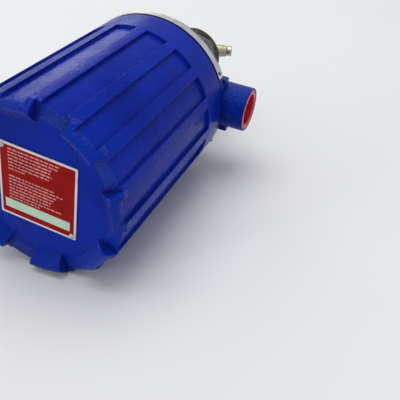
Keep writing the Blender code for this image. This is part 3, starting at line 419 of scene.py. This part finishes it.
def build_cover():
    angles = cover_angles()
    turn = np.radians(angles)
    panel = 1 - smoothstep((near(angles, 22.5) - 7.30) / 0.38)
    lug = 1 - smoothstep((near(angles, 45.0) - 11.60) / 0.40)
    on_lug = [
        (0, 186), (20, 186), (40, 186), (52, 186), (56.9, 186), (57.8, 186.15), (58.3, 186.7), (58.7, 187.6),
        (59.6, 188.6), (61.2, 190.1), (63.1, 191.9), (65.0, 193.7), (66.2, 194.75), (66.9, 195), (68.7, 195),
        (69.3, 194.8), (70.0, 194.1), (72.2, 191.4), (74.7, 188.3), (75.2, 187.5), (75.3, 186.6),
    ]
    in_gap = [
        (0, 186), (20, 186), (40, 186), (52, 186), (56.9, 186), (58.5, 186), (60.0, 186.05), (61.5, 186.1),
        (63.0, 186.15), (64.5, 186.2), (66.0, 186.2), (67.5, 186.2), (69.0, 186.2), (70.5, 186.2),
        (72.0, 186.2), (73.4, 186.2), (74.2, 186.1), (74.8, 185.8), (75.1, 185.3), (75.25, 184.7),
        (75.3, 184.0),
    ]
    rings = []
    for (r1, z1), (r2, z2) in zip(on_lug, in_gap):
        r = r1 * lug + r2 * (1 - lug)
        z = z1 * lug + z2 * (1 - lug)
        r = r * (1 - panel) + np.minimum(r, PANEL_FLOOR) * panel
        rings.append((r, z))
    heights = [
        181.5, 179, 170, 150, 130, 110, 90, 70, 50, 40, 36.4, 35.5, 35.15, 34.95, 34.75, 34.55, 34.35, 34.0,
        33.2, 28, 18, 10, 5.0, 3.4,
    ]
    for height in heights:
        deep = smoothstep((height - 34.1) / 1.2)
        r = CAP_RADIUS - (CAP_RADIUS - PANEL_FLOOR) * panel * deep
        rings.append((r, np.full(len(angles), float(height))))
    inside = [
        (75.2, 2.75), (74.9, 2.42), (74.4, 2.3), (70, 2.3), (66.6, 2.3), (65.8, 2.6), (65.3, 3.3),
        (65.2, 8), (65.2, 21), (64.6, 22.2), (63.5, 23.2), (63.5, 60), (63.5, 120), (63.5, 165),
        (63.3, 169), (62.2, 172.5), (60, 175.2), (57, 176.7), (53, 177), (30, 177), (0, 177),
    ]
    for r, z in inside:
        rings.append((np.full(len(angles), float(r)), np.full(len(angles), float(z))))
    stack = [np.stack([r * np.cos(turn), r * np.sin(turn), z], 1) for r, z in rings]
    cover = surface("cap_casting", stack, COVER, PAINT, 50.0)
    cover.data.materials.append(CAST)
    back = COVER.inverted()
    for face in cover.data.polygons:
        spot = back @ face.center
        if spot.z > 186.1 or (spot.z > 183.0 and math.hypot(spot.x, spot.y) > 74.0):
            face.material_index = 1
    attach(cover, "cover")
    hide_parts("housing_cover")
    return cover


# ---------------------------------------------------------------- plate
def plate_outline(half_x, half_y, corner, steps=5):
    points = []
    for k, (sx, sy) in enumerate(((1, 1), (-1, 1), (-1, -1), (1, -1))):
        for i in range(steps + 1):
            a = math.radians(90 * k + 90 * i / steps)
            x = sx * (half_x - corner) + corner * math.cos(a)
            y = sy * (half_y - corner) + corner * math.sin(a)
            points.append((x, y))
    return points


def flat_sheet(name, outline, bottom, top, place, finish):
    shape = bmesh.new()
    face = shape.faces.new([shape.verts.new((x, y, bottom)) for x, y in outline])
    grown = bmesh.ops.extrude_face_region(shape, geom=[face])["geom"]
    lifted = [item for item in grown if isinstance(item, bmesh.types.BMVert)]
    bmesh.ops.translate(shape, verts=lifted, vec=(0.0, 0.0, top - bottom))
    bmesh.ops.recalc_face_normals(shape, faces=shape.faces)
    mesh = bpy.data.meshes.new(name)
    shape.to_mesh(mesh)
    shape.free()
    return finish_mesh(name, mesh, place, finish)


def build_plate():
    """White-edged sheet, its red field, plain bars for the print and a pale field below."""
    spin = Matrix.Rotation(math.radians(PLATE_TURN), 4, "Z")
    place = COVER @ spin @ Matrix.Translation((PLATE_OFFSET, 0, 186.3))
    half = PLATE_SIDE / 2
    thick = PLATE_THICK
    parts = [flat_sheet("plate_sheet", plate_outline(half, half, 1.2), 0.0, thick - 0.06, place, PLATE_WHITE)]
    inner = half - 1.7
    field = plate_outline(inner, inner, 0.8)
    parts.append(flat_sheet("plate_field", field, thick - 0.2, thick - 0.03, place, PLATE_RED))
    band = [(-28.4, -25.8), (27.4, -25.8), (27.4, -17.6), (-28.4, -17.6)]
    parts.append(flat_sheet("plate_pale", band, thick - 0.15, thick - 0.015, place, PLATE_PALE))
    rng = random.Random(11)
    blocks = (
        (28.0, (42.0, 41.0, 36.0, 35.0, 36.5, 34.0, 14.0)),
        (4.6, (38.0, 45.5, 40.0, 39.0, 36.0, 35.0, 45.5, 26.0)),
    )
    for top, lengths in blocks:
        for row, length in enumerate(lengths):
            y = top - row * 2.85
            x = -24.4
            end = x + length
            while x < end:
                size = min(rng.uniform(1.4, 5.4), end - x)
                if size > 0.6:
                    outline = [(x, y - 0.55), (x + size, y - 0.55), (x + size, y + 0.55), (x, y + 0.55)]
                    parts.append(flat_sheet("bar", outline, thick - 0.12, thick - 0.01, place, PLATE_PRINT))
                x += size + 0.8
    plate = join("plate_on_cap", parts)
    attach(plate, "cover")
    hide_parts("instruction_plate")


def build_plate_screws():
    """Domed drive screws with a fine coarse-cut head."""
    reach = PLATE_SIDE / 2 - 3.2
    spin = Matrix.Rotation(math.radians(PLATE_TURN), 4, "Z")
    for number, (x, y) in enumerate(((PLATE_OFFSET - reach, reach), (PLATE_OFFSET + reach, -reach)), 1):
        place = COVER @ spin @ Matrix.Translation((x, y, 186.0))
        profile = [
            (0, 2.5), (0.8, 2.4), (1.6, 2.05), (2.3, 1.5), (2.3, 1.4), (1.1, 1.4), (1.1, -4.9), (0, -4.9),
        ]
        screw = lathe(f"plate_screw_head_{number}", profile, place, STEEL, 24, 0.15)
        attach(screw, "cover")
        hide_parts(f"plate_screw_{number}")


# ---------------------------------------------------------------- base
def build_base():
    profile = [
        (64.6, 20.0), (64.6, 6.6), (61.3, 6.6), (61.3, 2.6), (64.6, 2.6), (64.6, 0.0), (74.6, 0.0),
        (74.6, -8.3), (72.6, -9.1), (72.0, -14.5), (70.6, -18.6), (68.0, -23.5), (65.2, -28.4), (61.6, -33.4),
        (57.6, -37.6), (53.6, -40.6), (49.6, -42.0), (13.7, -42.0), (13.7, -34.0), (49.0, -34.0),
        (51.0, -31.0), (51.0, -12.0), (57.0, -8.0), (57.0, 20.0),
    ]
    base = lathe("base_casting", profile, BASE, PAINT, 180, 0.5, True)
    hub_frame = BASE @ Matrix.Translation((0, 0, HUB_Z))
    for side in (0.0, 180.0):
        spin = Matrix.Rotation(math.radians(side), 4, "Z")
        hub = [(0, 52.0), (21.4, 52.0), (21.0, 80.0), (21.0, 94.6), (20.8, 95.5), (20.2, 95.95), (0, 95.95)]
        body = lathe("hub", hub, hub_frame @ spin @ along_x(), PAINT, 96, 0.3)
        boolean(base, body, "UNION")
        for start, end, reach in ((15.5, 27.9, 72.0), (-24.1, -12.7, 78.4)):
            boss = bevelled_box("boss", (56.0, start, -18.4), (reach, end, -8.8), BASE @ spin, PAINT, 1.1, 4)
            boolean(base, boss, "UNION")
    half = [
        (14.8, 78.5), (16.4, 80.0), (16.4, 94.4), (19.5, 94.4), (19.5, 95.6), (19.9, 96.1), (19.9, 99.0),
        (0, 99.0),
    ]
    bore = [(r, -x) for r, x in half[::-1]] + half
    boolean(base, lathe("bore", bore, hub_frame @ along_x(), PAINT, 72, 0.0), "DIFFERENCE")
    base.data.materials.clear()
    base.data.materials.append(CAST)
    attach(base, "base")
    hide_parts("housing_base")


def build_bands():
    """Thin bright strips round the rim, slightly wavy as a riveted foil is."""
    for name, middle in (("band_strip_upper", 90.0), ("band_strip_lower", 270.0)):
        angles = np.radians(np.linspace(middle - BAND_HALF_SPAN, middle + BAND_HALF_SPAN, 180))
        count = len(angles)
        wave = 0.10 * np.sin(angles * 37.0) * np.sin(angles * 11.0 + 1.0)
        section = [
            (74.95, -0.35), (75.40, -0.30), (75.55, -0.45), (75.52, -1.1), (75.50, -4.0), (75.52, -6.9),
            (75.55, -7.55), (75.40, -7.7), (74.95, -7.65),
        ]
        shape = bmesh.new()
        grid = []
        for i in range(count):
            row = []
            for k, (r, z) in enumerate(section):
                reach = r + (wave[i] - 0.05 if 2 < k < 6 else 0.0)
                row.append(shape.verts.new((reach * math.cos(angles[i]), reach * math.sin(angles[i]), z)))
            grid.append(row)
        size = len(section)
        for i in range(count - 1):
            for k in range(size):
                m = (k + 1) % size
                shape.faces.new([grid[i][k], grid[i + 1][k], grid[i + 1][m], grid[i][m]])
        shape.faces.new(grid[0][::-1])
        shape.faces.new(grid[-1])
        bmesh.ops.recalc_face_normals(shape, faces=shape.faces)
        mesh = bpy.data.meshes.new(name)
        shape.to_mesh(mesh)
        shape.free()
        strip = finish_mesh(name, mesh, BASE, BAND)
        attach(strip, "base")
        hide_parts(name.replace("band_strip", "name_band"))
    for number, angle in enumerate(RIVET_ANGLES, 1):
        spin = Matrix.Rotation(math.radians(angle), 4, "Z")
        place = BASE @ Matrix.Translation((0, 0, BAND_MIDDLE_Z)) @ spin @ along_x()
        profile = [(0, 76.6), (0.7, 76.5), (1.4, 76.2), (1.8, 75.8), (0.8, 75.7), (0.8, 70.8), (0, 70.8)]
        rivet = lathe(f"rivet_{number}", profile, place, DARK_STEEL, 20, 0.1)
        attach(rivet, "base")
        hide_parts(f"band_rivet_{number}")


def build_plugs():
    """Thin moulded cups with a rolled rim, a step and a pull ring on their floor."""
    profile = [
        (0, 85.9), (3.0, 85.9), (3.6, 86.6), (4.4, 86.6), (5.0, 85.8), (11.0, 85.7), (13.4, 86.0),
        (14.2, 87.0), (14.4, 90.0), (14.6, 94.5), (14.9, 95.4), (15.5, 95.75), (17.8, 95.8), (18.7, 95.7),
        (19.15, 95.4), (19.2, 94.9), (19.0, 94.7), (16.2, 94.7), (16.1, 94.2), (16.05, 92.8), (15.7, 84.8),
        (15.3, 84.0), (0, 84.0),
    ]
    for name, body, side in (("plug_cup_right", "plug_right", 0.0), ("plug_cup_left", "plug_left", 180.0)):
        spin = Matrix.Rotation(math.radians(side), 4, "Z")
        place = BASE @ Matrix.Translation((0, 0, HUB_Z)) @ spin @ along_x()
        cup = lathe(name, profile, place, PLUG, 96, 0.2)
        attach(cup, body)
        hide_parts(name.replace("plug_cup", "conduit_plug"))


# ---------------------------------------------------------------- bushing, arm
def hexagon_radius(angles, flat, phase):
    """Radius of a hexagon with the given half width across flats, in each direction."""
    off = (angles - phase + 30.0) % 60.0 - 30.0
    return flat / np.cos(np.radians(30.0 - np.abs(off)))


def hex_angles(phase, per_flat):
    return phase + np.linspace(0, 360, 6 * per_flat, endpoint=False)


def build_bushing():
    angles = hex_angles(HEX_TURN, 30)
    turn = np.radians(angles)
    flat = hexagon_radius(angles, HEX_HALF_FLATS, HEX_TURN)
    rings = []

    def ring(r, z):
        r = np.broadcast_to(np.asarray(r, dtype=float), turn.shape)
        z = np.broadcast_to(np.asarray(z, dtype=float), turn.shape)
        rings.append(np.stack([r * np.cos(turn), r * np.sin(turn), z], 1))

    def chamfer_fall(limit, t):
        out = np.clip((np.minimum(flat, limit) - 33.6) / (7.0 * t + 1e-9), 0, 1)
        return 0.46 * 7.0 * t * out

    for r, z in ((11.3, -24.1), (12.9, -24.0), (13.3, -24.5), (13.4, -25.2), (13.4, -43.3), (13.6, -43.8),
                 (19.3, -43.8), (19.9, -44.3), (20.0, -45.0), (20.0, -61.5), (20.6, -63.2), (22.4, -64.0)):
        ring(r, z)
    for t in np.linspace(0, 1, 9):
        limit = 33.6 + 7.0 * t
        ring(np.minimum(flat, limit), -64.0 - chamfer_fall(limit, t))
    for z in (-68.2, -72, -76, -80, -83.8):
        ring(flat, z)
    for t in np.linspace(1, 0, 9):
        limit = 33.6 + 7.0 * t
        ring(np.minimum(flat, limit), -88.0 + chamfer_fall(limit, t))
    ring(29.6, -88.0)
    ring(28.8, -88.3)
    ring(28.5, -89.0)
    pitch = THREAD_PITCH
    for z in np.arange(-89.4, -113.0, -pitch / 8):
        crest = 30.15 - (z + 89.0) / -24.0 * 0.85
        saw = np.abs(((z / pitch - angles / 360.0) % 1.0) * 2 - 1)
        depth = 1.55 * (0.5 - 0.5 * np.cos(np.pi * np.clip(1.25 * saw - 0.12, 0, 1)))
        start = np.clip((-89.4 - z) / 2.4, 0, 1)
        ring(np.minimum(crest - depth, 28.5 + start * 2.2), z)
    ring(28.0, -113.4)
    ring(27.4, -114.0)
    for r, z in ((14.0, -114.0), (13.4, -113.6), (13.3, -112.8), (13.3, -102.0), (3.1, -102.0), (3.0, -101.8),
                 (3.0, -62.0), (11.3, -62.0)):
        ring(r, z)
    bushing = surface("pipe_bushing", rings, STEM, PLATED, 28.0, True)
    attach(bushing, "base")
    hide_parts("mounting_bushing")


def build_arm():
    """Hub with its snail cam, flat neck and tapered barrel; a slotted screw in its end."""
    sag = Matrix.Rotation(math.radians(ARM_SAG), 4, "Y")
    place = STEM @ Matrix.Translation((0, 0, ARM_PIVOT_Z)) @ sag

    def cam_radius(a):
        fall = min(max((a - 105.0) / 75.0, 0.0), 1.0)
        return 11.0 - 6.0 * fall

    outline = []
    for a in np.linspace(75, 285, 80):
        outline.append((cam_radius(a) * math.cos(math.radians(a)), cam_radius(a) * math.sin(math.radians(a))))
    outline += [(3.5, -4.0), (6.0, 3.5)]
    tilt = Matrix.Rotation(math.pi / 2, 4, "X")
    cam = flat_sheet("cam", outline, -CAM_WIDTH / 2, CAM_WIDTH / 2, Matrix.Identity(4), OLIVE)
    cam.data.transform(tilt)
    hub = lathe("hub", [(2.3, 4.1), (4.5, 4.1), (4.5, -4.1), (2.3, -4.1)], tilt, OLIVE, 48, 0.4, True)
    neck = bevelled_box("neck", (3.2, -4.0, -3.6), (15.2, 4.0, 3.6), Matrix.Identity(4), OLIVE, 0.8)
    profile = [
        (0, 24.0), (1.8, 24.0), (1.8, 31.2), (5.5, 31.2), (6.0, 30.6), (6.25, 28.3), (6.1, 27.8), (6.5, 27.4),
        (6.95, 17.4), (6.75, 16.8), (7.15, 16.2), (7.1, 14.6), (5.6, 13.6), (0, 13.6),
    ]
    barrel = lathe("barrel", profile, along_x(), OLIVE, 72, 0.3)
    arm = join("actuator_arm", [cam, hub, neck, barrel])
    pin_hole = lathe("pin_hole", [(0, 20), (2.3, 20), (2.3, -20), (0, -20)], tilt, OLIVE, 32, 0.0)
    boolean(arm, pin_hole, "DIFFERENCE")
    arm.data.transform(place)
    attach(arm, "arm")
    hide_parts("vane_arm")

    profile = [
        (0, 36.8), (4.6, 36.8), (5.3, 36.6), (5.6, 36.0), (5.6, 32.6), (5.3, 32.1), (4.6, 31.9),
        (4.6, 31.5), (1.5, 31.5), (1.5, 23.2), (0, 23.2),
    ]
    screw = lathe("arm_end_screw", profile, along_x(), STAINLESS, 64, 0.2)
    slot = bevelled_box("slot", (35.0, -0.8, -8.0), (40.0, 0.8, 8.0), Matrix.Identity(4), STAINLESS, 0.1, 1)
    boolean(screw, slot, "DIFFERENCE")
    screw.data.transform(place)
    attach(screw, "arm")
    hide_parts("vane_screw")


# ---------------------------------------------------------------- carried-over CAD nodes
CARRIED = {
    "linkage_yoke": PLATED,
    "pivot_pin": STAINLESS,
    "pin_retaining_ring": SPRING,
    "base_lock_nut": STEEL,
    "tube_gasket": RUBBER,
    "enclosing_tube": STAINLESS,
    "actuator_stem": STAINLESS,
    "attraction_sleeve": STEEL,
    "stem_nut_lower": STEEL,
    "stem_nut_upper": STEEL,
    "range_spring": SPRING,
    "cover_o_ring": RUBBER,
    "terminal_block": BLACK,
    "terminal_screw_1": BRASS,
    "terminal_screw_2": BRASS,
    "terminal_screw_3": BRASS,
    "ground_screw": GREEN,
    "switch_bracket": ZINC,
    "bracket_clamp_screw": STEEL,
    "magnet_arm": ZINC,
    "magnet": MAGNET,
    "magnet_screw": STEEL,
    "magnet_pin": STEEL,
    "bias_stud": STEEL,
    "bias_nut": BRASS,
    "bias_spring": SPRING,
    "micro_switch": BLACK,
    "switch_plunger": WHITE,
    "switch_screw_1": STEEL,
    "switch_screw_2": STEEL,
    "lead_wire_1": RED_WIRE,
    "lead_wire_2": BLACK_WIRE,
}


def carry_over():
    for name, finish in CARRIED.items():
        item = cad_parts[name]
        for spot in item.material_slots:
            spot.material = finish


# ---------------------------------------------------------------- floor, light, camera
def floor_material():
    n = Nodes("pale_floor")
    n.set(Base_Color=n.mix(n.spread(n.noise(3, 2.0), 0.3, 0.7), (0.80, 0.80, 0.80), (0.82, 0.82, 0.82)))
    n.set(Roughness=0.75, Specular_IOR_Level=0.2)
    return n.material


def build_stage():
    shape = bmesh.new()
    bmesh.ops.create_grid(shape, x_segments=4, y_segments=4, size=6.0)
    mesh = bpy.data.meshes.new("floor")
    shape.to_mesh(mesh)
    shape.free()
    floor = bpy.data.objects.new("floor", mesh)
    bpy.context.scene.collection.objects.link(floor)
    floor.location = (0.0, 0.0, -0.0002)
    mesh.materials.append(floor_material())


def area_light(name, spot, target, size, power, color=(1.0, 1.0, 1.0)):
    data = bpy.data.lights.new(name, "AREA")
    data.shape = "DISK"
    data.size = size
    data.energy = power
    data.color = color
    item = bpy.data.objects.new(name, data)
    bpy.context.scene.collection.objects.link(item)
    item.location = spot
    item.rotation_euler = (Vector(target) - Vector(spot)).to_track_quat("-Z", "Y").to_euler()


def build_light_and_camera():
    scene = bpy.context.scene
    scene.view_settings.view_transform = "Standard"
    world = bpy.data.worlds.new("studio")
    scene.world = world
    world.use_nodes = True
    back = world.node_tree.nodes["Background"]
    back.inputs["Color"].default_value = (0.95, 0.97, 1.0, 1.0)
    back.inputs["Strength"].default_value = 0.52
    area_light("overhead", (-0.25, 0.15, 2.8), (-0.05, 0.05, 0.0), 2.8, 44.0)
    area_light("back_left", (-1.0, 1.3, 0.9), (0, 0, 0.1), 0.7, 3.0)
    area_light("front_fill", (0.9, -1.4, 0.9), (0, 0, 0.05), 1.0, 1.2)
    area_light("glint", (-0.55, -1.1, 0.55), (0, -0.15, 0.05), 0.10, 1.1)

    data = bpy.data.cameras.new("camera")
    data.lens = 51.61
    data.sensor_width = 36.0
    camera = bpy.data.objects.new("camera", data)
    bpy.context.scene.collection.objects.link(camera)
    camera.location = (0.24165, -0.43446, 0.30508)
    camera.rotation_euler = (math.radians(90.0 - 34.525), 0.0, math.radians(22.286))
    bpy.context.scene.camera = camera


build_cover()
build_plate()
build_plate_screws()
build_base()
build_bands()
build_plugs()
build_bushing()
build_arm()
carry_over()
build_stage()
build_light_and_camera()
